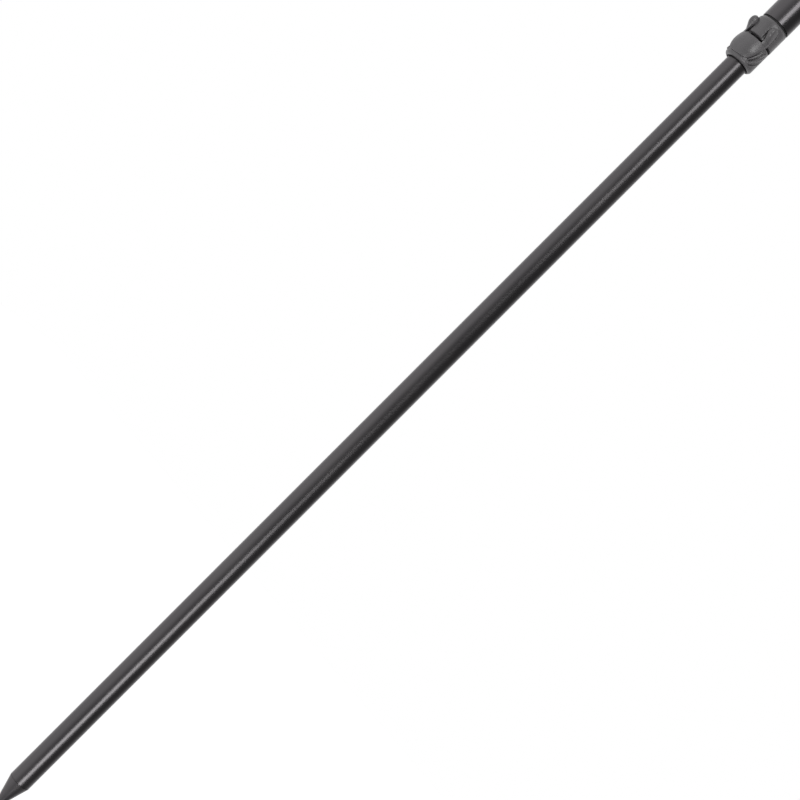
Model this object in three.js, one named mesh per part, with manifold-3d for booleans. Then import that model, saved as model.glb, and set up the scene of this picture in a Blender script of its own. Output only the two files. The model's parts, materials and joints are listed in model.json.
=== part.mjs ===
// A telescopic bank stick: a ground spike, a thin lower tube, a flip lock and a thicker upper tube
// with a threaded head. Millimetres, +Z up the stick, origin at the point of the spike.
// The stick is drawn right out and locked, and the lever of the lock faces -Y.

import * as THREE from "three";
import { ConvexGeometry } from "three/addons/geometries/ConvexGeometry.js";
import { mergeVertices, toCreasedNormals } from "three/addons/utils/BufferGeometryUtils.js";
import Module from "manifold-3d";

const wasm = await Module();
wasm.setup();

// Tubes
const lowerTubeRadius = 8;
const lowerTubeWall = 1.2;
const tubeSpace = 1.8; // from the lower tube out to the bore of the upper one
const upperTubeWall = 1.2;
const upperTubeLength = 740;
const lockHeight = 701; // from the point of the spike to the lower end of the lock

// Clearances
const slideClearance = 0.15; // between the lower tube and what slides on it
const pressClearance = 0.1; // round a part that is pushed or glued in
const seamGap = 0.1; // between two end faces that meet
const workingGap = 0.3; // between the lever and the lock body
const pinClearance = 0.08;
const overrun = 2; // how far a cut runs past the face it opens

// Spike
const spikePointRadius = 0.8;
const spikeConeLength = 25.5;
const spikeShoulder = 0.4; // chamfer where the cone meets the tube
const spikeSpigotLength = 24;
const spikeLeadIn = 1.2;

// Stop in the top of the lower tube
const plugSpigotLength = 22;
const plugHeadInset = 0.7; // from the bore of the upper tube in to the plug's head
const plugHeadThickness = 3;
const plugVentRadius = 2.5; // lets air out as the stick is closed
const glideRingHeight = 12;
const glideRingSplit = 1.4;
const glideRingChamfer = 0.6;
const stopPinRadius = 1.5;
const stopPinDepth = 9; // below the end of the lower tube
const stopPinRecess = 0.3;

// Lock body
const bodyStep = 0.25; // the clamp ring stands this far outside the upper tube
const bodyShift = 1; // the body's axis stands this far forward of the tubes, for a thick front
const sleeveInset = 0.1; // the sleeve's back and sides lie this far inside the upper tube
const ringHeight = 17.9; // clamp ring, up to the slit
const slitWidth = 2;
const sleeveLength = 14.8; // above the slit
const lipRadius = 2.3;
const rimRound = 0.6;
const webShare = 0.64; // the web behind the slit starts this far back, as a share of the bore's radius
const neckRound = 1.8;
const shoulderHeight = 2.4;
const shoulderDrop = 1.1;
const lockSpigotLength = 24;
const wiperDepth = 0.4;
const wiperHeight = 2;
const wiperWall = 1;
const jointRingHeight = 1.3;
const jointRingInset = 0.45; // the ring stands this far inside the upper tube's outside
const rivetHeight = 12; // above the foot of the upper tube
const rivetRadius = 1.6;
const rivetHeadRadius = 2.8;
const rivetHeadHeight = 0.9;

// Ribs and grooves on the clamp ring, drawn on its unrolled surface and wrapped round it
const ribHeight = 0.85;
const ribRoot = 0.5;
const innerRibHalfWidth = 0.9;
const outerRibHalfWidth = 1.2;
const grooveHalfWidth = 0.8;
const grooveDepth = 1;
const leafPower = 0.45; // below 1, so that a leaf widens quickly from its ends
// Each pair is a share of the arc from the ring's front to its side and a share of its height.
const innerRibShares = [[0.5, 0.2], [0.64, 0.42], [0.74, 0.66], [0.77, 0.84]];
const outerRibShares = [[0.62, 0.13], [0.82, 0.39], [0.96, 0.67], [0.98, 0.9]];
const edgeGrooveShares = [[0.45, 0.22], [0.56, 0.42], [0.64, 0.65], [0.71, 0.88]];
const middleGrooveShares = [[0.56, 0.16], [0.73, 0.44], [0.85, 0.68], [0.83, 0.89]];
const outerGrooveShares = [[0.67, 0.09], [0.89, 0.25], [1.05, 0.42], [1.15, 0.64]];

// Lever
const pivotRise = 7.1; // above the slit
const pivotInset = 1.85; // from the body's radius back to the pivot
const pinRadius = 1.25;
const pinRecess = 0.8; // the driven end lies this far inside the far boss
const pinBlindWall = 1.6; // plastic left over the other end
const armInset = 0.45; // the arms' outer faces lie this far inside the body's radius
const armThickness = 5.4;
const bossRadius = 4.3;
const bossSwell = 3.4; // how far the bosses bulge inwards, towards the neck
const bossRound = 2;
const domeBase = 2.3; // the lever's free edge, above the lower end of the lock
const domeEndGap = 0.3; // the dome ends this far short of the slit
const domeRise = 2.1; // how far the dome stands off its seat
const domeEdge = 0.5; // thickness of its free edge
const domeSideInset = 0.3; // from the arms' outer faces in to the dome's widest place
const domeFootShare = 0.9; // the flanks' reach in front of the tubes at the free edge,
const domeHipShare = 0.45; // and where the arms spring, as shares of the body's radius
const armRootDrop = 1.4; // the arms spring from the dome this far below its end
const armRise = 0.5; // the arms' front stands this far outside the lever's seat
const armWristDrop = 1.7; // the arms begin to widen this far below the bosses
const armRootInset = 3.2; // from the arms' outer faces in to their inner side at the root
const toeHeight = 1.4;
const toeInset = 2; // from the arms' outer faces in to the toes
// Rise of the dome off its seat: shares of its length and of its full rise.
const domeProfileShares = [[0, 0], [0.12, 0.5], [0.26, 0.85], [0.43, 1], [0.6, 0.92], [0.78, 0.6], [1, 0.12]];
// Half of the dome's outline seen from the front: shares of its half width and of its length.
const domeOutlineShares = [[0, 0], [0.4, 0.02], [0.68, 0.08], [0.83, 0.25], [0.93, 0.55], [1, 1]];

// Head
const headStep = 0.8; // the head stands this far outside the upper tube
const headHeight = 18;
const headChamfer = 0.8;
const headSpigotLength = 20;
const headVentRadius = 3.4;
const headGrooveDepth = 0.5;
const headGrooveHeight = 1.2;
const headGrooveShares = [0.32, 0.46, 0.6]; // of the head's height
const insertRadius = 6.4;
const insertLength = 15;
const insertFlangeRadius = 7.6;
const insertFlangeHeight = 1.5;
const threadMinorRadius = 4.2; // 3/8 inch BSF, as tapped
const threadChamfer = 0.6;

// Fineness of the round faces
const tubeSides = 40;
const lockSides = 60;
const pinSides = 24;
const bossSides = 32;
const bossArcSteps = 2;
const arcSteps = 3;
const domeSteps = 10;
const leafSteps = 9;
const leafSides = 4;
const weld = 0.001; // points closer than this are one point
const creaseAngle = THREE.MathUtils.degToRad(35); // softer edges than this are shaded as round
const rightAngle = 90;

// Sizes that follow from the ones above
const lowerTubeBore = lowerTubeRadius - lowerTubeWall;
const upperTubeBore = lowerTubeRadius + tubeSpace;
const upperTubeRadius = upperTubeBore + upperTubeWall;
const slideBore = lowerTubeRadius + slideClearance;
const bodyRadius = upperTubeRadius + bodyStep;
const sleeveRadius = upperTubeRadius - sleeveInset;
const slitTop = ringHeight + slitWidth;
const bodyLength = slitTop + sleeveLength;
const pivotHeight = slitTop + pivotRise; // above the lower end of the lock
const pivotReach = bodyRadius - pivotInset; // in front of the tubes' axis
const armOuter = bodyRadius - armInset;
const armInner = armOuter - armThickness;
const armRootInner = armOuter - armRootInset;
const neckHalfWidth = armInner - workingGap;
const leverSeat = bodyRadius + workingGap; // inside of the lever, round the body's axis
const domeTop = ringHeight - domeEndGap;
const domeHalfWidth = armOuter - domeSideInset;
const armRoot = domeTop - armRootDrop;
const armWrist = pivotHeight - bossRadius - armWristDrop;
const lockSpigotRadius = upperTubeBore - pressClearance;
const lockSpigotTop = bodyLength + jointRingHeight + seamGap + seamGap + lockSpigotLength;
const upperTubeBase = lockHeight + bodyLength + jointRingHeight + seamGap + seamGap;
const upperTubeTop = upperTubeBase + upperTubeLength;
const lowerTubeTop = lockHeight + lockSpigotTop + workingGap;
const glideBase = lowerTubeTop + seamGap;
const glideTop = glideBase + glideRingHeight;
const plugHeadBase = glideTop + workingGap;
const plugHeadRadius = upperTubeBore - plugHeadInset;
const plugNeckRadius = lowerTubeBore - pressClearance;
const headBase = upperTubeTop + seamGap;
const headTop = headBase + headHeight;
const headRadius = upperTubeRadius + headStep;

// Solids from three.js geometries

// A closed geometry as a solid for joining and cutting.
function solid(geometry) {
  const bare = geometry.index ? geometry.clone() : geometry;
  bare.deleteAttribute("normal");
  bare.deleteAttribute("uv");
  const merged = mergeVertices(bare);
  const corners = merged.index.array;
  const kept = [];
  for (let i = 0; i < corners.length; i += 3) {
    const [a, b, c] = corners.slice(i, i + 3);
    if (a !== b && b !== c && c !== a) kept.push(a, b, c);
  }
  return new wasm.Manifold(
    new wasm.Mesh({
      numProp: 3,
      vertProperties: new Float32Array(merged.attributes.position.array),
      triVerts: new Uint32Array(kept),
    }),
  );
}

// A path turned round the Z axis: x is the radius and y the height.
function turned(path, sides) {
  const points = path.getPoints(arcSteps);
  const apart = points.filter((point, i) => i === 0 || point.distanceTo(points[i - 1]) > weld);
  return solid(new THREE.LatheGeometry(apart, sides).rotateX(Math.PI / 2));
}

// The path of a profile given as [radius, height] corners.
function cornerPath(corners) {
  const path = new THREE.Path();
  path.moveTo(...corners[0]);
  for (const corner of corners.slice(1)) path.lineTo(...corner);
  return path;
}

function turnedCorners(corners, sides) {
  return turned(cornerPath(corners), sides);
}

function rod(radius, low, high, sides) {
  return turnedCorners([[0, low], [radius, low], [radius, high], [0, high]], sides);
}

function pipe(inner, outer, low, high, sides) {
  return turnedCorners([[inner, low], [outer, low], [outer, high], [inner, high], [inner, low]], sides);
}

// A round bar along X from one x to another, at a height and a reach in front of the axis.
function crossBar(radius, from, to, height, reach, sides) {
  const bar = new THREE.CylinderGeometry(radius, radius, to - from, sides);
  bar.rotateZ(Math.PI / 2).translate((from + to) / 2, -reach, height);
  return solid(bar);
}

function block(lowX, highX, lowY, highY, lowZ, highZ) {
  const box = new THREE.BoxGeometry(highX - lowX, highY - lowY, highZ - lowZ);
  return solid(box.translate((lowX + highX) / 2, (lowY + highY) / 2, (lowZ + highZ) / 2));
}

// A front view, drawn in x and height, pushed through the part along Y.
function throughFront(shape, frontY, backY) {
  const plate = new THREE.ExtrudeGeometry(shape, { depth: backY - frontY, bevelEnabled: false });
  return solid(plate.rotateX(Math.PI / 2).translate(0, backY, 0));
}

// A side view, drawn in reach in front of the axis and height, pushed through along X.
function throughSide(shape, halfWidth) {
  const plate = new THREE.ExtrudeGeometry(shape, { depth: halfWidth + halfWidth, bevelEnabled: false });
  return solid(plate.rotateX(Math.PI / 2).rotateZ(-Math.PI / 2).translate(halfWidth, 0, 0));
}

// A mesh from a solid, with soft shading across the small facets of a round face.
function meshOf(name, made, finish) {
  const data = made.getMesh();
  const geometry = new THREE.BufferGeometry();
  geometry.setAttribute("position", new THREE.BufferAttribute(data.vertProperties, data.numProp));
  geometry.setIndex(new THREE.BufferAttribute(data.triVerts, 1));
  const mesh = new THREE.Mesh(toCreasedNormals(geometry, creaseAngle), finish);
  mesh.name = name;
  return mesh;
}

// Finishes
const anodised = new THREE.MeshStandardMaterial({ color: 0x3a393b, roughness: 0.32, metalness: 0.9 });
const spikeMetal = new THREE.MeshStandardMaterial({ color: 0x353436, roughness: 0.38, metalness: 0.9 });
const moulded = new THREE.MeshStandardMaterial({ color: 0x3f3e3f, roughness: 0.6, metalness: 0 });
const rubber = new THREE.MeshStandardMaterial({ color: 0x0c0c0c, roughness: 0.85, metalness: 0 });
const acetal = new THREE.MeshStandardMaterial({ color: 0x1c1c1c, roughness: 0.45, metalness: 0 });
const steel = new THREE.MeshStandardMaterial({ color: 0x404042, roughness: 0.3, metalness: 1 });
const brass = new THREE.MeshStandardMaterial({ color: 0xb08d4a, roughness: 0.35, metalness: 1 });

// Lower section

function groundSpike() {
  const spigot = plugNeckRadius;
  const top = spikeConeLength + spikeSpigotLength;
  const shoulder = spikeConeLength - spikeShoulder;
  const profile = [
    [0, 0],
    [spikePointRadius, 0],
    [lowerTubeRadius, shoulder],
    [lowerTubeRadius, spikeConeLength],
    [spigot, spikeConeLength],
    [spigot, top - spikeLeadIn],
    [spigot - spikeLeadIn, top],
    [0, top],
  ];
  return turnedCorners(profile, tubeSides);
}

function lowerTube() {
  const base = spikeConeLength + seamGap;
  const pinHole = crossBar(
    stopPinRadius + pinClearance,
    -lowerTubeRadius - overrun,
    lowerTubeRadius + overrun,
    lowerTubeTop - stopPinDepth,
    0,
    pinSides,
  );
  return pipe(lowerTubeBore, lowerTubeRadius, base, lowerTubeTop, tubeSides).subtract(pinHole);
}

// The plug's spigot fills the end of the lower tube, and its head holds the glide ring on.
function stopPlug() {
  const low = lowerTubeTop - plugSpigotLength;
  const top = plugHeadBase + plugHeadThickness;
  const profile = [
    [plugVentRadius, low],
    [plugNeckRadius, low],
    [plugNeckRadius, plugHeadBase],
    [plugHeadRadius, plugHeadBase],
    [plugHeadRadius, top - glideRingChamfer],
    [plugHeadRadius - glideRingChamfer, top],
    [plugVentRadius, top],
    [plugVentRadius, low],
  ];
  const pinHole = crossBar(
    stopPinRadius + pinClearance,
    -lowerTubeRadius,
    lowerTubeRadius,
    lowerTubeTop - stopPinDepth,
    0,
    pinSides,
  );
  return turnedCorners(profile, tubeSides).subtract(pinHole);
}

function glideRing() {
  const inner = plugNeckRadius + slideClearance;
  const outer = upperTubeBore - slideClearance;
  const profile = [
    [inner, glideBase],
    [outer - glideRingChamfer, glideBase],
    [outer, glideBase + glideRingChamfer],
    [outer, glideTop - glideRingChamfer],
    [outer - glideRingChamfer, glideTop],
    [inner, glideTop],
    [inner, glideBase],
  ];
  const half = glideRingSplit / 2;
  const split = block(-half, half, 0, outer + overrun, glideBase - overrun, glideTop + overrun);
  return turnedCorners(profile, tubeSides).subtract(split);
}

function stopPin() {
  const end = lowerTubeRadius - stopPinRecess;
  return crossBar(stopPinRadius, -end, end, lowerTubeTop - stopPinDepth, 0, pinSides);
}

// Lock body, in heights above its own lower end

// A profile turned round the body's own axis, which stands forward of the tubes' axis.
function turnedForward(path) {
  return turned(path, lockSides).translate(0, -bodyShift, 0);
}

function forwardRod(radius, low, high) {
  return rod(radius, low, high, lockSides).translate(0, -bodyShift, 0);
}

// The clamp ring, with a rounded lip below and a lightly rounded rim at the slit.
function ringBlank() {
  const path = new THREE.Path();
  path.moveTo(0, 0);
  path.lineTo(bodyRadius - lipRadius, 0);
  path.absarc(bodyRadius - lipRadius, lipRadius, lipRadius, -Math.PI / 2, 0);
  path.lineTo(bodyRadius, ringHeight - rimRound);
  path.absarc(bodyRadius - rimRound, ringHeight - rimRound, rimRound, 0, Math.PI / 2);
  path.lineTo(0, ringHeight);
  return turnedForward(path);
}

// The sleeve's forward part, which ends in the round-edged neck between the lever's arms.
function neckBlank() {
  const path = new THREE.Path();
  path.moveTo(0, slitTop);
  path.lineTo(bodyRadius - neckRound, slitTop);
  path.absarc(bodyRadius - neckRound, slitTop + neckRound, neckRound, -Math.PI / 2, 0);
  path.lineTo(bodyRadius, bodyLength - shoulderHeight);
  path.quadraticCurveTo(
    bodyRadius,
    bodyLength - shoulderHeight / 2,
    bodyRadius - shoulderDrop,
    bodyLength,
  );
  path.lineTo(0, bodyLength);
  return turnedForward(path);
}

// What the arm and boss on one side (side is 1 or -1) clear out of the neck blank.
function armPocket(side) {
  const [from, to] = outward(side, neckHalfWidth, armOuter + overrun);
  const front = -bodyRadius - bodyShift - overrun;
  const back = -pivotReach + bossRadius + workingGap;
  const channel = block(from, to, front, back, slitTop - overrun, pivotHeight);
  const floor = rod(sleeveRadius, ringHeight, pivotHeight + overrun, lockSides);
  return channel.subtract(floor).add(bossRoom(side));
}

// The rounded hollow that a boss turns in, open to the side.
function bossRoom(side) {
  const inner = bossInnerSide(workingGap);
  const rim = bossRadius + workingGap;
  const end = armOuter + overrun;
  return turnedAcross([...inner, new THREE.Vector2(end, rim), new THREE.Vector2(end, 0)], side);
}

// The boss's inner side in section, from the pivot's axis out to its rim, as distances from the
// middle of the stick and radii round the pivot. It is grown by a gap for the hollow.
function bossInnerSide(gap) {
  const path = new THREE.Path();
  const rimAt = armInner + bossSwell;
  path.absellipse(rimAt, 0, bossSwell + gap, bossRadius + gap, Math.PI, Math.PI / 2, true);
  return path.getPoints(bossArcSteps);
}

// A section given as distances from the middle and radii, turned round the pivot's axis.
function turnedAcross(section, side) {
  const flipped = section.map((point) => new THREE.Vector2(point.y, point.x));
  const form = new THREE.LatheGeometry(flipped, bossSides).rotateZ(-Math.PI / 2);
  const right = solid(form).translate(0, -pivotReach, pivotHeight);
  return side > 0 ? right : right.mirror([1, 0, 0]);
}

// The two ends of a stretch along X, lowest first, on the right (side 1) or the left (side -1).
function outward(side, near, far) {
  return side > 0 ? [near, far] : [-far, -near];
}

// A leaf along a centre line on the unrolled ring, wide in the middle and closed at both ends. Its
// section bulges from one radius to another, so that it is a rib to add or a groove to cut.
function wrappedLeaf(shares, halfWidth, from, to, side) {
  const sideArc = (bodyRadius * Math.PI) / 2;
  const centre = shares.map(([arc, up]) => new THREE.Vector2(arc * sideArc, up * ringHeight));
  const line = new THREE.SplineCurve(centre);
  const places = [];
  const faces = [];
  for (let i = 0; i <= leafSteps; i++) {
    const share = i / leafSteps;
    const point = line.getPoint(share);
    const along = line.getTangent(share);
    const width = halfWidth * Math.pow(Math.sin(Math.PI * share), leafPower);
    for (let j = 0; j <= leafSides; j++) {
      const turn = (Math.PI * j) / leafSides;
      const across = i % leafSteps === 0 ? 0 : -Math.cos(turn) * width;
      const angle = (point.x - along.y * across) / bodyRadius;
      const radius = from + (to - from) * Math.sin(turn);
      const height = point.y + along.x * across;
      places.push(radius * Math.sin(angle), -bodyShift - radius * Math.cos(angle), height);
    }
  }
  const ring = leafSides + 1;
  for (let i = 0; i < leafSteps; i++) {
    for (let j = 0; j < ring; j++) {
      const a = i * ring + j;
      const b = i * ring + ((j + 1) % ring);
      faces.push(a, b, a + ring, b, b + ring, a + ring);
    }
  }
  const skin = new THREE.BufferGeometry();
  skin.setAttribute("position", new THREE.Float32BufferAttribute(places, 3));
  skin.setIndex(faces);
  const leaf = solid(skin);
  const right = leaf.volume() < 0 ? turnedOut(skin) : leaf;
  return side > 0 ? right : right.mirror([1, 0, 0]);
}

// The same closed skin with its faces turned round.
function turnedOut(skin) {
  const faces = Array.from(skin.index.array).reverse();
  return solid(skin.clone().setIndex(faces));
}

function carvedRing() {
  const rib = [bodyRadius - ribRoot, bodyRadius + ribHeight];
  const cut = [bodyRadius + grooveDepth, bodyRadius - grooveDepth];
  let ring = ringBlank();
  for (const side of [1, -1]) {
    for (const shares of [edgeGrooveShares, middleGrooveShares, outerGrooveShares]) {
      ring = ring.subtract(wrappedLeaf(shares, grooveHalfWidth, ...cut, side));
    }
    ring = ring.add(wrappedLeaf(innerRibShares, innerRibHalfWidth, ...rib, side));
    ring = ring.add(wrappedLeaf(outerRibShares, outerRibHalfWidth, ...rib, side));
  }
  return ring;
}

// The web behind the slit, which joins the ring to the sleeve and lets the ring tilt a little.
function backWeb() {
  const low = ringHeight - rimRound;
  const high = slitTop + rimRound;
  const strip = block(-bodyRadius, bodyRadius, slideBore * webShare, bodyRadius, low, high);
  return forwardRod(bodyRadius, low, high).intersect(strip);
}

function lockBody() {
  const neck = neckBlank().subtract(armPocket(1)).subtract(armPocket(-1));
  const sleeve = rod(sleeveRadius, slitTop, bodyLength, lockSides);
  const spigot = rod(lockSpigotRadius, bodyLength - overrun, lockSpigotTop, lockSides);
  const blank = carvedRing().add(backWeb()).add(sleeve).add(neck).add(spigot);
  const holeRadius = pinRadius + pinClearance;
  const pinHole = crossBar(holeRadius, -armOuter, armOuter, pivotHeight, pivotReach, pinSides);
  const wiperSeat = wiperDepth + wiperHeight + seamGap;
  const rivetHole = rivetBar(rivetRadius + pinClearance, 0, upperTubeRadius + overrun);
  return blank
    .subtract(bossRoom(1))
    .subtract(bossRoom(-1))
    .subtract(pinHole)
    .subtract(rod(slideBore, -overrun, lockSpigotTop + overrun, lockSides))
    .subtract(rod(slideBore + wiperWall, -overrun, wiperSeat, lockSides))
    .subtract(rivetHole.translate(0, 0, -lockHeight));
}

// Lever, in heights above the lock's lower end

// The dome's surface, turned round the body's axis.
function domeBlank() {
  const rise = domeProfileShares.map(([up, out]) => {
    const radius = leverSeat + domeEdge + out * (domeRise - domeEdge);
    return new THREE.Vector2(radius, domeBase + up * (domeTop - domeBase));
  });
  const surface = new THREE.SplineCurve(rise).getPoints(domeSteps);
  const profile = [new THREE.Vector2(0, domeBase), ...surface, new THREE.Vector2(0, domeTop)];
  const blank = new THREE.LatheGeometry(profile, lockSides).rotateX(Math.PI / 2);
  return solid(blank).translate(0, -bodyShift, 0);
}

function domeOutline() {
  const half = domeOutlineShares.map(
    ([wide, up]) => new THREE.Vector2(wide * domeHalfWidth, domeBase + up * (domeTop - domeBase)),
  );
  const right = new THREE.SplineCurve(half).getPoints(domeSteps);
  const left = right.slice(1).map((point) => new THREE.Vector2(-point.x, point.y));
  return new THREE.Shape([...right, ...left.reverse()]);
}

// The dome's flanks seen from the side: they run back from the free edge to the arms.
function domeSide() {
  const front = leverSeat + bodyShift + domeRise + overrun;
  const side = new THREE.Shape();
  side.moveTo(front, domeBase - overrun);
  side.lineTo(front, domeTop + overrun);
  side.lineTo(bodyRadius * domeHipShare, domeTop + overrun);
  side.lineTo(bodyRadius * domeHipShare, armRoot);
  side.lineTo(bodyRadius * domeFootShare, domeBase);
  side.lineTo(bodyRadius * domeFootShare, domeBase - overrun);
  return throughSide(side, bodyRadius);
}

function domeShell() {
  const front = -leverSeat - bodyShift - domeRise - overrun;
  const outline = throughFront(domeOutline(), front, 0);
  return domeBlank().intersect(outline).intersect(domeSide());
}

// A boss in section: its swollen inner side, then its outer face with a rounded rim.
function bossProfile() {
  const path = new THREE.Path();
  const rim = bossRadius - bossRound;
  path.absarc(armOuter - bossRound, rim, bossRound, Math.PI / 2, 0, true);
  return [...bossInnerSide(0), ...path.getPoints(bossArcSteps), new THREE.Vector2(armOuter, 0)];
}

// The arm's section at a height: a front that follows the body's curve, and a straight back.
function armSection(side, height, back) {
  const points = [];
  const crest = leverSeat + armRise;
  for (let i = 0; i <= arcSteps; i++) {
    const across = armRootInner + ((domeHalfWidth - armRootInner) * i) / arcSteps;
    const front = bodyShift + Math.sqrt(crest * crest - across * across);
    points.push(new THREE.Vector3(side * across, -front, height));
    points.push(new THREE.Vector3(side * across, -back, height));
  }
  return points;
}

// The corners of a boss, as rings round the pivot.
function bossPoints(side) {
  const points = [];
  for (const { x: across, y: radius } of bossProfile()) {
    for (let i = 0; i < bossSides; i++) {
      const angle = (Math.PI * 2 * i) / bossSides;
      const height = pivotHeight + radius * Math.cos(angle);
      const reach = pivotReach + radius * Math.sin(angle);
      points.push(new THREE.Vector3(side * across, -reach, height));
    }
  }
  return points;
}

// One arm: a bar that springs from the dome and lies close to the body, then widens into the boss.
function arm(side) {
  const root = armSection(side, armRoot, bodyRadius * domeHipShare);
  const wrist = armSection(side, armWrist, pivotReach - bossRadius);
  const bar = solid(new ConvexGeometry([...root, ...wrist]));
  return bar.add(solid(new ConvexGeometry([...wrist, ...bossPoints(side)])));
}

// The toe under each arm. With the lever shut it stands in the slit, just past the line from the
// pivot to the ring's rim, and holds the ring tilted so that its bore grips the lower tube.
function toe(side) {
  const [from, to] = outward(side, armRootInner, armOuter - toeInset);
  const low = ringHeight + workingGap;
  const top = low + toeHeight;
  const fin = block(from, to, -bodyRadius - bodyShift, -lowerTubeRadius, low, top);
  return fin.intersect(forwardRod(leverSeat + domeEdge, low, top));
}

function camLever() {
  const ringTop = ringHeight + workingGap;
  const ringRoom = forwardRod(leverSeat, -overrun, ringTop);
  const bosses = turnedAcross(bossProfile(), 1).add(turnedAcross(bossProfile(), -1));
  const sleeveRoom = rod(sleeveRadius + workingGap, ringTop, bodyLength, lockSides).subtract(bosses);
  const arms = arm(1).add(arm(-1)).add(domeShell());
  const lever = arms.subtract(ringRoom).subtract(sleeveRoom).add(toe(1)).add(toe(-1));
  const boreEnd = armOuter - pinBlindWall;
  const boreRadius = pinRadius + pinClearance;
  const start = -armOuter - overrun;
  return lever.subtract(crossBar(boreRadius, start, boreEnd, pivotHeight, pivotReach, pinSides));
}

function pivotPin() {
  const from = -armOuter + pinRecess;
  const to = armOuter - pinBlindWall - seamGap;
  return crossBar(pinRadius, from, to, pivotHeight, pivotReach, pinSides);
}

// Small parts of the upper section

function wiperRing() {
  const inner = slideBore;
  const outer = slideBore + wiperWall - pressClearance;
  return pipe(inner, outer, wiperDepth, wiperDepth + wiperHeight, tubeSides);
}

function jointRing() {
  const low = bodyLength + seamGap;
  const outer = upperTubeRadius - jointRingInset;
  return pipe(upperTubeBore, outer, low, low + jointRingHeight, tubeSides);
}

// A bar along Y at the height of the rivet, from one distance behind the axis to another.
function rivetBar(radius, from, to) {
  const bar = new THREE.CylinderGeometry(radius, radius, to - from, pinSides);
  return solid(bar.translate(0, (from + to) / 2, upperTubeBase + rivetHeight));
}

function lockRivet() {
  const seat = upperTubeRadius + seamGap;
  const profile = new THREE.Path();
  profile.moveTo(0, slideBore + pressClearance);
  profile.lineTo(rivetRadius, slideBore + pressClearance);
  profile.lineTo(rivetRadius, seat);
  profile.lineTo(rivetHeadRadius, seat);
  profile.quadraticCurveTo(rivetHeadRadius, seat + rivetHeadHeight, 0, seat + rivetHeadHeight);
  return turned(profile, pinSides)
    .rotate([-rightAngle, 0, 0])
    .translate(0, 0, upperTubeBase + rivetHeight);
}

function upperTube() {
  return pipe(upperTubeBore, upperTubeRadius, upperTubeBase, upperTubeTop, tubeSides).subtract(
    rivetBar(rivetRadius + pinClearance, 0, upperTubeRadius + overrun),
  );
}

// Head

function headPlug() {
  const spigot = upperTubeBore - pressClearance;
  const low = headBase - headSpigotLength;
  const seat = headTop - insertLength - seamGap;
  const flangeSeat = headTop - insertFlangeHeight - seamGap;
  const path = new THREE.Path();
  path.moveTo(headVentRadius, low);
  path.lineTo(spigot - headChamfer, low);
  path.lineTo(spigot, low + headChamfer);
  path.lineTo(spigot, headBase);
  path.lineTo(headRadius - headChamfer, headBase);
  path.lineTo(headRadius, headBase + headChamfer);
  for (const share of headGrooveShares) {
    const middle = headBase + share * headHeight;
    path.lineTo(headRadius, middle - headGrooveHeight / 2);
    path.lineTo(headRadius - headGrooveDepth, middle);
    path.lineTo(headRadius, middle + headGrooveHeight / 2);
  }
  path.lineTo(headRadius, headTop - headChamfer);
  path.lineTo(headRadius - headChamfer, headTop);
  path.lineTo(insertFlangeRadius + pressClearance, headTop);
  path.lineTo(insertFlangeRadius + pressClearance, flangeSeat);
  path.lineTo(insertRadius + pressClearance, flangeSeat);
  path.lineTo(insertRadius + pressClearance, seat);
  path.lineTo(headVentRadius, seat);
  path.lineTo(headVentRadius, low);
  return turned(path, tubeSides);
}

function threadInsert() {
  const low = headTop - insertLength;
  const flange = headTop - insertFlangeHeight;
  return turnedCorners(
    [
      [threadMinorRadius, low],
      [insertRadius, low],
      [insertRadius, flange],
      [insertFlangeRadius, flange],
      [insertFlangeRadius, headTop],
      [threadMinorRadius + threadChamfer, headTop],
      [threadMinorRadius, headTop - threadChamfer],
      [threadMinorRadius, low],
    ],
    tubeSides,
  );
}

// The assembly: the lock's parts are modelled from the lock's lower end and lifted as a group.
const lowerSection = new THREE.Group();
lowerSection.add(
  meshOf("ground_spike", groundSpike(), spikeMetal),
  meshOf("lower_tube", lowerTube(), anodised),
  meshOf("stop_plug", stopPlug(), acetal),
  meshOf("glide_ring", glideRing(), acetal),
  meshOf("stop_pin", stopPin(), steel),
);

const lock = new THREE.Group();
lock.position.z = lockHeight;
lock.add(
  meshOf("lock_body", lockBody(), moulded),
  meshOf("cam_lever", camLever(), moulded),
  meshOf("pivot_pin", pivotPin(), steel),
  meshOf("wiper_ring", wiperRing(), rubber),
  meshOf("joint_ring", jointRing(), rubber),
);

const upperSection = new THREE.Group();
upperSection.add(
  lock,
  meshOf("upper_tube", upperTube(), anodised),
  meshOf("lock_rivet", lockRivet(), steel),
  meshOf("head_plug", headPlug(), anodised),
  meshOf("thread_insert", threadInsert(), brass),
);

const bankStick = new THREE.Group();
bankStick.add(lowerSection, upperSection);

export default bankStick;
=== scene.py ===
# %% [markdown]
# # A telescopic bank stick
# The stick is a spike, a slim lower tube, a lock with a flip lever and a wider upper tube. Its real
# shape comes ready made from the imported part, so this lesson is about looks: camera, light, satin
# metal and the worn skin of moulded plastic. Everything is in metres, with Z up the stick.

# %% Load the part
import json
import math

import bmesh
import bpy
from mathutils import Matrix, Vector


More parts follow.
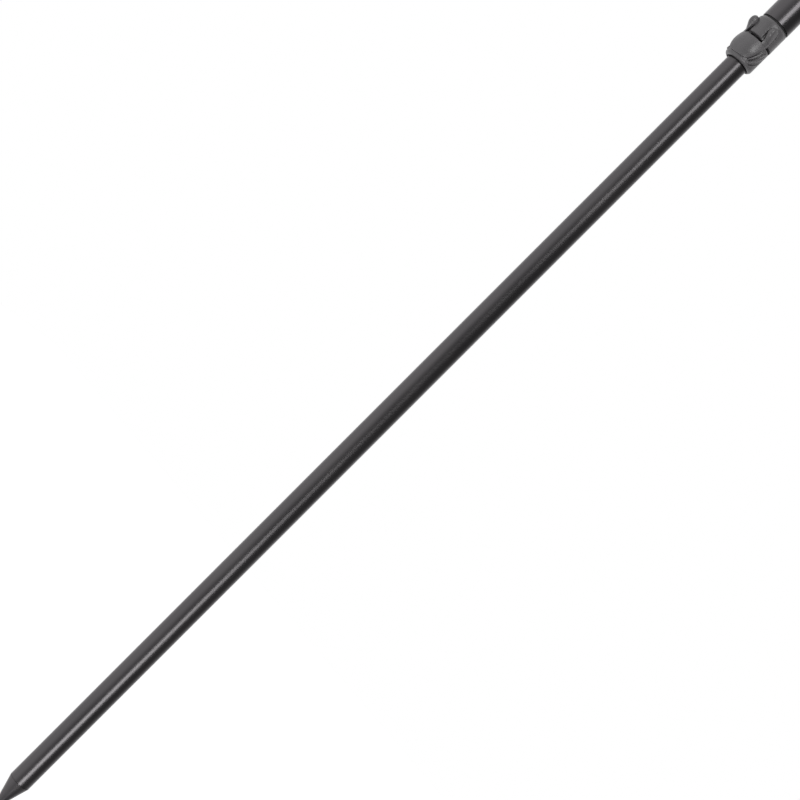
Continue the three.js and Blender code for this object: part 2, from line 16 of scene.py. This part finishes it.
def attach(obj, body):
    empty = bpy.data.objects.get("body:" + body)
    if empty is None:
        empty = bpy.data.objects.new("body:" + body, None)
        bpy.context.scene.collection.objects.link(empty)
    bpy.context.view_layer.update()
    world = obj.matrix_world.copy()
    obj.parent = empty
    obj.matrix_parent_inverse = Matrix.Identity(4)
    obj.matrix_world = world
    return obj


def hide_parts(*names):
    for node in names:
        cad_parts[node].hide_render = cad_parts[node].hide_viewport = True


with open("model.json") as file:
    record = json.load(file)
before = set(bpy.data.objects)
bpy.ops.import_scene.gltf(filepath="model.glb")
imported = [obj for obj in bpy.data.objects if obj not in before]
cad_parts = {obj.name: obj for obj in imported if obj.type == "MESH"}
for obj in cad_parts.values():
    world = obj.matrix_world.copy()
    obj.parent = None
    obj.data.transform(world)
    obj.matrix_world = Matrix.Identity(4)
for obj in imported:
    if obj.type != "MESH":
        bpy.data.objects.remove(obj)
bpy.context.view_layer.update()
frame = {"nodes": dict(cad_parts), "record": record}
print("pieces of the part:", ", ".join(sorted(frame["nodes"])))

# %% [markdown]
# ## The camera
# In the photograph the stick runs corner to corner and the lens looks square at the stick a little
# over half way along what shows. A camera is easiest to set by its own three axes. The stick's up
# direction lies half way between the picture's right and its top, and the stick's side lies half
# way between right and bottom. A fairly long lens from about a metre gives the slight spread of
# the rings that the photograph shows at the lock.

# %% Camera
lever_turn = math.radians(30.5)  # the lever faces this far to the left of the lens
aim_height = 0.384
aim_side = -0.0005  # the stick passes this far from the middle of the picture
lens_distance = 1.133
focal_length = 76.5  # in millimetres, as lenses are sold
sensor_width = 36

towards_lens = Vector((math.sin(lever_turn), -math.cos(lever_turn), 0))
stick_side = Vector((math.cos(lever_turn), math.sin(lever_turn), 0))
stick_up = Vector((0, 0, 1))

lens = bpy.data.cameras.new("photo_lens")
lens.sensor_width = sensor_width
lens.lens = focal_length
lens.clip_start = 0.05
camera = bpy.data.objects.new("photo_camera", lens)
bpy.context.scene.collection.objects.link(camera)
picture_right = (stick_up + stick_side).normalized()
picture_top = (stick_up - stick_side).normalized()
turn = Matrix((picture_right, picture_top, towards_lens)).transposed()
place = stick_up * aim_height + stick_side * aim_side + towards_lens * lens_distance
camera.matrix_world = Matrix.Translation(place) @ turn.to_4x4()
bpy.context.scene.camera = camera
print("camera at", [round(v, 3) for v in place])

# %% [markdown]
# ## Helpers for node materials
# A material is a small graph. These helpers add a node, set its plain values, and join sockets, so
# that each finish below reads as a short recipe. Noise is read in the object's own space, so a
# scale of 900 means 900 blots to the metre, about one for each millimetre.

# %% Node helpers
def add_node(tree, kind, values=None, **settings):
    node = tree.nodes.new(kind)
    for name, value in settings.items():
        setattr(node, name, value)
    for socket, value in (values or {}).items():
        node.inputs[socket].default_value = value
    return node


def new_finish(name):
    material = bpy.data.materials.new(name)
    material.use_nodes = True
    tree = material.node_tree
    return material, tree, tree.nodes["Principled BSDF"]


def cloud(tree, stretch, scale, detail=3):
    """Noise in the object's own space, drawn out along each axis where the stretch is below one."""
    where = add_node(tree, "ShaderNodeTexCoord")
    mapping = add_node(tree, "ShaderNodeMapping", {"Scale": stretch})
    noise = add_node(tree, "ShaderNodeTexNoise", {"Scale": scale, "Detail": detail})
    tree.links.new(where.outputs["Object"], mapping.inputs["Vector"])
    tree.links.new(mapping.outputs["Vector"], noise.inputs["Vector"])
    return noise.outputs["Fac"]


def spread(tree, source, low, high, from_low=0.3, from_high=0.7):
    """A source between two levels turned into a value between low and high."""
    levels = {"From Min": from_low, "From Max": from_high, "To Min": low, "To Max": high}
    node = add_node(tree, "ShaderNodeMapRange", levels)
    tree.links.new(source, node.inputs["Value"])
    return node.outputs["Result"]


def tinted(tree, source, dark, light):
    """A colour between dark and light, led by the middle of the source's range."""
    ramp = add_node(tree, "ShaderNodeValToRGB")
    ramp.color_ramp.elements[0].position = 0.3
    ramp.color_ramp.elements[0].color = (*dark, 1)
    ramp.color_ramp.elements[1].position = 0.7
    ramp.color_ramp.elements[1].color = (*light, 1)
    tree.links.new(source, ramp.inputs["Fac"])
    return ramp.outputs["Color"]


def mixed(tree, share, first, second):
    """A colour that goes from the first to the second with the share."""
    node = add_node(tree, "ShaderNodeMix", data_type="RGBA")
    wanted = {"Factor": share, "A": first, "B": second}
    for socket in [entry for entry in node.inputs if entry.enabled]:
        value = wanted[socket.name]
        if isinstance(value, tuple):
            socket.default_value = (*value, 1)
        else:
            tree.links.new(value, socket)
    return [entry for entry in node.outputs if entry.enabled][0]


def roughened(tree, shader, source, strength, depth):
    bump = add_node(tree, "ShaderNodeBump", {"Strength": strength, "Distance": depth})
    tree.links.new(source, bump.inputs["Height"])
    tree.links.new(bump.outputs["Normal"], shader.inputs["Normal"])


def times(gain, colour):
    return tuple(gain * level for level in colour)


helpers = (add_node, new_finish, cloud, spread, tinted, mixed, roughened, times)
print("helpers:", ", ".join(helper.__name__ for helper in helpers))

# %% [markdown]
# ## Satin anodised tube
# Drawn aluminium tube is etched, anodised and dyed a gunmetal grey. It is metal, so its colour shows
# in its reflections, and the etch spreads those reflections into soft bands along the tube. The
# drawing leaves faint lines along the length, and handling leaves patches a touch smoother. The
# dyed layer is only a few microns thick, so cut edges rub through to paler metal. The geometry
# node's pointiness is a half where the surface is flat and more on an edge, and finds them.

# %% Tube finish
line_scale = 900
line_strength = 0.12
line_depth = 0.00004
patch_scale = 60
patch_stretch = (1, 1, 0.25)
edge_starts, edge_full = 0.56, 0.68  # as pointiness
bare_share, bare_gain = 0.7, 3  # how much of the dye an edge loses, and how much paler it gets

along = (1, 1, 0.02)
around = (0.03, 0.03, 1)


def anodised_finish(name, dark, light, smooth, rough, lines):
    material, tree, shader = new_finish(name)
    shader.inputs["Metallic"].default_value = 1
    grain = cloud(tree, lines, line_scale)
    patches = cloud(tree, patch_stretch, patch_scale)
    shape = add_node(tree, "ShaderNodeNewGeometry").outputs["Pointiness"]
    raised_share = spread(tree, shape, 0, bare_share, edge_starts, edge_full)
    surface_colour = mixed(tree, raised_share, tinted(tree, patches, dark, light), times(bare_gain, light))
    tree.links.new(surface_colour, shader.inputs["Base Color"])
    tree.links.new(spread(tree, patches, smooth, rough), shader.inputs["Roughness"])
    roughened(tree, shader, grain, line_strength, line_depth)
    return material


tube_finish = anodised_finish(
    "satin_tube", (0.098, 0.094, 0.098), (0.112, 0.107, 0.11), 0.27, 0.33, along)
spike_finish = anodised_finish(
    "turned_spike", (0.09, 0.086, 0.09), (0.108, 0.103, 0.106), 0.3, 0.38, around)
head_finish = anodised_finish(
    "turned_head", (0.082, 0.08, 0.083), (0.1, 0.097, 0.1), 0.28, 0.36, around)
print("dyed metal:", tube_finish.name, spike_finish.name, head_finish.name)

# %% [markdown]
# ## Moulded plastic
# The lock and its lever are glass filled nylon, moulded in a tool with a fine spark texture. Two
# scales of noise do this: a fine one for the texture, and a broad one for the slightly uneven
# colour and gloss that the fibres leave.
#
# Two more marks follow the shape, and both are painted light: the hollows are painted nearly black as
# shade, and the ridges are painted pale as a highlight, where the roughness also drops as fingers
# polish them.
# Painting them by hand is slow, so the material reads a number that is measured later on each moulded
# mesh:
# how many millimetres a point lies in a hollow, or above its surroundings where the number is
# negative. A mesh without that number counts as flat.

# %% Plastic finish
flow_scale, flow_detail = 140, 4
texture_scale, texture_detail = 3200, 2
texture_strength = 0.35
# Painted shade: between these depths the hollows are darkened nearly to black.
hollow_shade_starts, hollow_shade_full, hollow_shade_share = 0.005, 0.1, 0.85  # depths in millimetres
# Painted highlight: from these heights the ridges are painted paler; the same mask also lowers the
# roughness.
ridge_starts, ridge_full = -0.02, -0.15
# How much paler the painted highlight makes a ridge.
ridge_highlight_gain = 1.6
polish_gain = -0.08  # a rubbed ridge is this much less rough
# The colour of the painted shade in the hollows.
hollow_shade_colour = (0.006, 0.006, 0.006)


def moulded_finish(name, dark, light, smooth, rough, grain_depth, shine=0.5):
    material, tree, shader = new_finish(name)
    flow = cloud(tree, (1, 1, 1), flow_scale, flow_detail)
    texture = cloud(tree, (1, 1, 1), texture_scale, texture_detail)
    depth = add_node(tree, "ShaderNodeAttribute", attribute_name="hollow").outputs["Fac"]
    # Painted shade in the hollows and a painted highlight on the ridges, both led by the measured
    # depth.
    painted_hollow_shade = spread(tree, depth, 0, hollow_shade_share, hollow_shade_starts, hollow_shade_full)
    raised_share = spread(tree, depth, 0, 1, ridge_starts, ridge_full)
    hollow_shaded_colour = mixed(tree, painted_hollow_shade, tinted(tree, flow, dark, light), hollow_shade_colour)
    # Painted highlight: the ridges are lightened towards a paler colour.
    surface_colour = mixed(tree, raised_share, hollow_shaded_colour, times(ridge_highlight_gain, light))
    tree.links.new(surface_colour, shader.inputs["Base Color"])
    polish = add_node(tree, "ShaderNodeMath", {1: polish_gain}, operation="MULTIPLY_ADD")
    tree.links.new(raised_share, polish.inputs[0])
    tree.links.new(spread(tree, flow, smooth, rough), polish.inputs[2])
    tree.links.new(polish.outputs["Value"], shader.inputs["Roughness"])
    shader.inputs["Specular IOR Level"].default_value = shine
    roughened(tree, shader, texture, texture_strength, grain_depth)
    return material


# The lock and lever carry the painted shade and highlight; acetal and rubber pieces have no measured
# depth, so they stay even.
lock_finish = moulded_finish(
    "nylon_painted_shade_highlight", (0.066, 0.063, 0.066), (0.08, 0.076, 0.08), 0.33, 0.42, 0.00003, shine=0.8)
acetal_finish = moulded_finish(
    "black_acetal", (0.008, 0.008, 0.008), (0.014, 0.014, 0.014), 0.35, 0.45, 0.00001)
rubber_finish = moulded_finish(
    "black_rubber", (0.004, 0.004, 0.004), (0.009, 0.009, 0.009), 0.6, 0.75, 0.00003)
print("moulded:", lock_finish.name, acetal_finish.name, rubber_finish.name)

# %% [markdown]
# ## Steel and brass
# The pins are blackened steel and the socket in the head is turned brass. Both are metals with
# fine marks, so they take the recipe of the dyed metal with their own colours: the pins with faint
# drawn lines, the socket with the marks of the lathe round its axis.

# %% Pin and socket finishes
pin_finish = anodised_finish(
    "blackened_steel", (0.05, 0.05, 0.052), (0.08, 0.08, 0.082), 0.3, 0.4, along)
brass_finish = anodised_finish(
    "turned_brass", (0.42, 0.27, 0.09), (0.52, 0.35, 0.13), 0.25, 0.35, around)
print("other metal:", pin_finish.name, brass_finish.name)

# %% [markdown]
# ## Dress the pieces that keep their shape
# Most small pieces inside the stick are right as they are. They keep their meshes and get a finish.

# %% Dress the inner pieces
def dress(piece, finish):
    piece.data.materials.clear()
    piece.data.materials.append(finish)


inner_finish = {
    "stop_plug": acetal_finish,
    "glide_ring": acetal_finish,
    "wiper_ring": rubber_finish,
    "stop_pin": pin_finish,
    "pivot_pin": pin_finish,
}
for node, finish in inner_finish.items():
    dress(frame["nodes"][node], finish)
print("dressed", ", ".join(inner_finish))

# %% [markdown]
# ## Clean copies to work on
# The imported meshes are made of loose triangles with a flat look. A clean copy welds their corners
# and melts the triangles of each flat face into one, so that modifiers see the real edges. Each copy
# rides on the body of the piece it stands for.

# %% Clean copies
weld_reach = 2e-6
body_of_node = {}
for body, members in frame["record"]["behaviour"]["bodies"].items():
    for member in members:
        body_of_node[member] = body


def clean_copy(node, name, melt_angle):
    """A copy of a node with shared corners; faces that meet within the melt angle become one."""
    source = frame["nodes"][node].data
    mesh = bpy.data.meshes.new(name)
    faces = [tuple(face.vertices) for face in source.polygons]
    mesh.from_pydata([v.co for v in source.vertices], [], faces)
    work = bmesh.new()
    work.from_mesh(mesh)
    bmesh.ops.remove_doubles(work, verts=work.verts, dist=weld_reach)
    if melt_angle:
        bmesh.ops.dissolve_limit(work, angle_limit=melt_angle, verts=work.verts, edges=work.edges)
    work.to_mesh(mesh)
    work.free()
    piece = bpy.data.objects.new(name, mesh)
    bpy.context.scene.collection.objects.link(piece)
    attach(piece, body_of_node[node])
    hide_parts(node)
    return piece


def evaluated(piece):
    """The piece as its modifiers make it, with the graph that works it out."""
    bpy.context.view_layer.update()
    graph = bpy.context.evaluated_depsgraph_get()
    return piece.evaluated_get(graph), graph


def apply_all(piece):
    """Replace a piece's mesh by what its modifiers make of it."""
    made, graph = evaluated(piece)
    mesh = bpy.data.meshes.new_from_object(made, depsgraph=graph)
    piece.modifiers.clear()
    piece.data = mesh


print("bodies to ride on:", ", ".join(sorted(set(body_of_node.values()))))

# %% [markdown]
# ## Turned and drawn pieces with real edges
# No cut edge on a real tube is perfectly sharp: the saw, the lathe and the tumbling leave a tiny
# round that catches the light as a thin bright line. A bevel on every edge over 30 degrees makes
# that line, and smooth shading below a somewhat larger angle turns the small facets of each round
# face into one curve. The bevel would tilt the shading of the long faces beside it, so the last
# modifier lets the larger face decide at every corner.

# %% Soften the metal and the visible ring
flat_melt = math.radians(0.5)
bevel_from = math.radians(30)
sharp_from = math.radians(38)


def softened(node, name, edge, finish):
    piece = clean_copy(node, name, flat_melt)
    bevel = piece.modifiers.new("edge", "BEVEL")
    bevel.width = edge
    bevel.segments = 2
    bevel.limit_method = "ANGLE"
    bevel.angle_limit = bevel_from
    apply_all(piece)
    piece.data.shade_smooth()
    piece.data.set_sharp_from_angle(angle=sharp_from)
    piece.modifiers.new("even shading", "WEIGHTED_NORMAL").keep_sharp = True
    apply_all(piece)
    dress(piece, finish)
    print(name, len(piece.data.polygons), "faces")


softened("lower_tube", "inner_tube", 0.00012, tube_finish)
softened("upper_tube", "outer_tube", 0.00018, tube_finish)
softened("ground_spike", "spike", 0.00015, spike_finish)
softened("head_plug", "head", 0.0001, head_finish)
softened("thread_insert", "socket", 0.0001, brass_finish)
softened("lock_rivet", "rivet", 0.0001, pin_finish)
softened("joint_ring", "joint_seal", 0.0002, rubber_finish)

# %% [markdown]
# ## What a smoothed copy tells
# A heavily smoothed copy of a moulded skin has two uses. Where it stays within a few hundredths of
# a millimetre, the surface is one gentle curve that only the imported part's flat facets break up, so
# the skin takes the smoothed place there. And it floats above every hollow and sinks into every
# ridge, so the distance to it, taken along the surface normal, is the number that the plastic
# finish reads. All places are worked out before any corner moves, because a moved corner changes
# the normals round it, and working those out again for each corner takes far too long.

# %% Smoothed copies
millimetres = 1000  # to a metre


def smoothed_places(piece, passes):
    piece.modifiers.new("smoothed", "SMOOTH").iterations = passes
    made, graph = evaluated(piece)
    places = [corner.co.copy() for corner in made.data.vertices]
    piece.modifiers.clear()
    return places


def depth_below(corner, place):
    return (place - corner.co).dot(corner.normal)


def even_facets(piece, passes, limit):
    """Take the smoothed place where it is nearer than the limit, and less of it up to twice that."""
    corners = piece.data.vertices
    places = []
    for corner, place in zip(corners, smoothed_places(piece, passes)):
        share = min(1, max(0, 2 - abs(depth_below(corner, place)) / limit))
        places.extend(corner.co.lerp(place, share))
    corners.foreach_set("co", places)
    piece.data.update()


def mark_hollows(piece, passes):
    """Store how many millimetres each corner lies below a smoothed copy of its surface."""
    pairs = zip(piece.data.vertices, smoothed_places(piece, passes))
    depths = [millimetres * depth_below(corner, place) for corner, place in pairs]
    layer = piece.data.attributes.new("hollow", "FLOAT", "POINT")
    layer.data.foreach_set("value", depths)
    print("ridges up to", round(-min(depths), 2), "mm, hollows up to", round(max(depths), 2), "mm")

# %% [markdown]
# ## Moulded pieces with soft edges
# Everything moulded has rounded edges and hollows, because sharp ones crack and the tool wears
# them away. Where ribs, pockets and domes meet in many directions a bevel gets tangled, so these
# two are rebuilt from small voxels, which melts all forms into one skin, and then relaxed a little.
# The lever gets smaller voxels, because its rim is thin. At the end a fifth of the faces is kept,
# which loses nothing: the flat stretches need few.
#
# One smoothing pass reaches about one voxel far, and four passes reach twice as far as one. So the
# number of passes is the square of the reach, counted in voxels.

# %% Remesh the lock and the lever
relax_reach = 0.0004
facet_reach = 0.0017
facet_limit = 0.00004
hollow_reach = 0.001
kept_share = 0.2


def passes_for(reach, voxel):
    return round((reach / voxel) ** 2)


def moulded(node, name, voxel, finish):
    piece = clean_copy(node, name, melt_angle=0)
    remesh = piece.modifiers.new("one skin", "REMESH")
    remesh.mode = "VOXEL"
    remesh.voxel_size = voxel
    remesh.use_smooth_shade = True
    piece.modifiers.new("relax", "SMOOTH").iterations = passes_for(relax_reach, voxel)
    apply_all(piece)
    even_facets(piece, passes_for(facet_reach, voxel), facet_limit)
    piece.data.shade_smooth()
    mark_hollows(piece, passes_for(hollow_reach, voxel))
    piece.modifiers.new("fewer faces", "DECIMATE").ratio = kept_share
    apply_all(piece)
    dress(piece, finish)
    print(name, len(piece.data.polygons), "faces")


coarser = 1
moulded("lock_body", "lock_shell", 0.00016 * coarser, lock_finish)
moulded("cam_lever", "flip_lever", 0.0001 * coarser, lock_finish)

# %% [markdown]
# ## Light
# The stick lies in plain even light in front of white. Two soft boxes stand in front of it, one low
# and one high, with a gap between them for the lens: that is why the bright band along the metal is
# strong at both ends of the picture and fades half way. Both stand a little to the right of the
# lens, so the band runs right of the middle of the tube.

# %% Soft boxes
box_distance = 1.6
box_wide = 0.75


def soft_box(name, round_turn, height, tall, radiance, aim):
    """A rectangular lamp, turned about the stick from the lens by round_turn degrees."""
    lamp = bpy.data.lights.new(name, "AREA")
    lamp.shape = "RECTANGLE"
    lamp.size, lamp.size_y = box_wide, tall
    lamp.energy = radiance * math.pi * box_wide * tall
    turned = math.radians(round_turn)
    side = towards_lens * math.cos(turned) + stick_side * math.sin(turned)
    spot = side * box_distance + stick_up * height
    box = bpy.data.objects.new(name, lamp)
    bpy.context.scene.collection.objects.link(box)
    box.location = spot
    box.rotation_mode = "QUATERNION"
    box.rotation_quaternion = (stick_up * aim - spot).to_track_quat("-Z", "Y")
    box.visible_camera = False
    print(name, "gives", round(lamp.energy, 1), "watts")


soft_box("low_box", round_turn=19, height=-0.53, tall=1.12, radiance=4.3, aim=0.1)
soft_box("high_box", round_turn=14, height=1.5, tall=1.1, radiance=4.1, aim=0.7)

# %% [markdown]
# ## The white room
# The world does three jobs, told apart by the kind of ray that asks. The lens, and anything seen
# through glass, sees plain white behind the stick. Metal and gloss mirror a room that is white at
# the back and dims smoothly towards the right of the lens, as a real studio does between its white
# walls and its open side, and that gives the dark band beside the bright one. All other rays get
# an even, weaker light that fills the shadows.

# %% World
dim_turn = math.radians(46)
back_level, dim_level = 1, 0.14
fill_level = 0.6


def seen_directly(tree):
    """One for a ray from the lens or through glass, and nought for any other."""
    rays = add_node(tree, "ShaderNodeLightPath")
    either = add_node(tree, "ShaderNodeMath", operation="MAXIMUM")
    tree.links.new(rays.outputs["Is Camera Ray"], either.inputs[0])
    tree.links.new(rays.outputs["Is Transmission Ray"], either.inputs[1])
    return either.outputs["Value"]


world = bpy.data.worlds.new("white_room")
bpy.context.scene.world = world
world.use_nodes = True
sky = world.node_tree
sky.nodes.clear()
dim_way = towards_lens * math.cos(dim_turn) + stick_side * math.sin(dim_turn)
direction = add_node(sky, "ShaderNodeTexCoord")
facing = add_node(sky, "ShaderNodeVectorMath", operation="DOT_PRODUCT")
facing.inputs[1].default_value = dim_way
sky.links.new(direction.outputs["Generated"], facing.inputs[0])
room_levels = {"From Min": -0.3, "From Max": 0.85, "To Min": back_level, "To Max": dim_level}
room_level = add_node(sky, "ShaderNodeMapRange", room_levels, interpolation_type="SMOOTHSTEP")
sky.links.new(facing.outputs["Value"], room_level.inputs["Value"])

backdrop = add_node(sky, "ShaderNodeBackground", {"Color": (1, 1, 1, 1), "Strength": 1})
mirrored = add_node(sky, "ShaderNodeBackground", {"Color": (1, 0.99, 1, 1)})
fill = add_node(sky, "ShaderNodeBackground", {"Color": (1, 1, 1, 1), "Strength": fill_level})
by_gloss = add_node(sky, "ShaderNodeMixShader")
by_lens = add_node(sky, "ShaderNodeMixShader")
output = add_node(sky, "ShaderNodeOutputWorld")
gloss_rays = add_node(sky, "ShaderNodeLightPath").outputs["Is Glossy Ray"]
sky.links.new(room_level.outputs["Result"], mirrored.inputs["Strength"])
sky.links.new(gloss_rays, by_gloss.inputs["Fac"])
sky.links.new(fill.outputs["Background"], by_gloss.inputs[1])
sky.links.new(mirrored.outputs["Background"], by_gloss.inputs[2])
sky.links.new(seen_directly(sky), by_lens.inputs["Fac"])
sky.links.new(by_gloss.outputs["Shader"], by_lens.inputs[1])
sky.links.new(backdrop.outputs["Background"], by_lens.inputs[2])
sky.links.new(by_lens.outputs["Shader"], output.inputs["Surface"])
bpy.context.scene.view_settings.view_transform = "Standard"
print("the room dims from", back_level, "to", dim_level, "and fills with", fill_level)

# %% [markdown]
# ## The floor
# The spike's point rests on a pale floor, which shows when the camera looks down. Its white is part
# paint, which takes the stick's soft shadow, and part a faint glow for the lens alone, which lifts
# it to the white of the backdrop. It is kept out of the metal's reflections and lets the low soft
# box shine through, because in the photograph the stick hangs in the air.

# %% Floor
floor_reach = 1.5
floor_drop = 0.0005
floor_glow = 0.52

floor_ends = [(-1, -1), (1, -1), (1, 1), (-1, 1)]
floor_corners = [(x * floor_reach, y * floor_reach, 0) for x, y in floor_ends]
floor_mesh = bpy.data.meshes.new("floor")
floor_mesh.from_pydata(floor_corners, [], [range(len(floor_corners))])
floor = bpy.data.objects.new("floor", floor_mesh)
bpy.context.scene.collection.objects.link(floor)
floor.location.z = -floor_drop
floor.visible_glossy = False
floor.visible_shadow = False

floor_paint, tree, shader = new_finish("floor_paint")
shader.inputs["Roughness"].default_value = 0.9
shader.inputs["Specular IOR Level"].default_value = 0.1
shader.inputs["Emission Color"].default_value = (1, 1, 1, 1)
mottle = tinted(tree, cloud(tree, (1, 1, 1), 3), (0.78, 0.78, 0.78), (0.82, 0.82, 0.82))
tree.links.new(mottle, shader.inputs["Base Color"])
glow = add_node(tree, "ShaderNodeMath", {1: floor_glow}, operation="MULTIPLY")
tree.links.new(seen_directly(tree), glow.inputs[0])
tree.links.new(glow.outputs["Value"], shader.inputs["Emission Strength"])
dress(floor, floor_paint)
print("the floor reaches", floor_reach, "m each way")
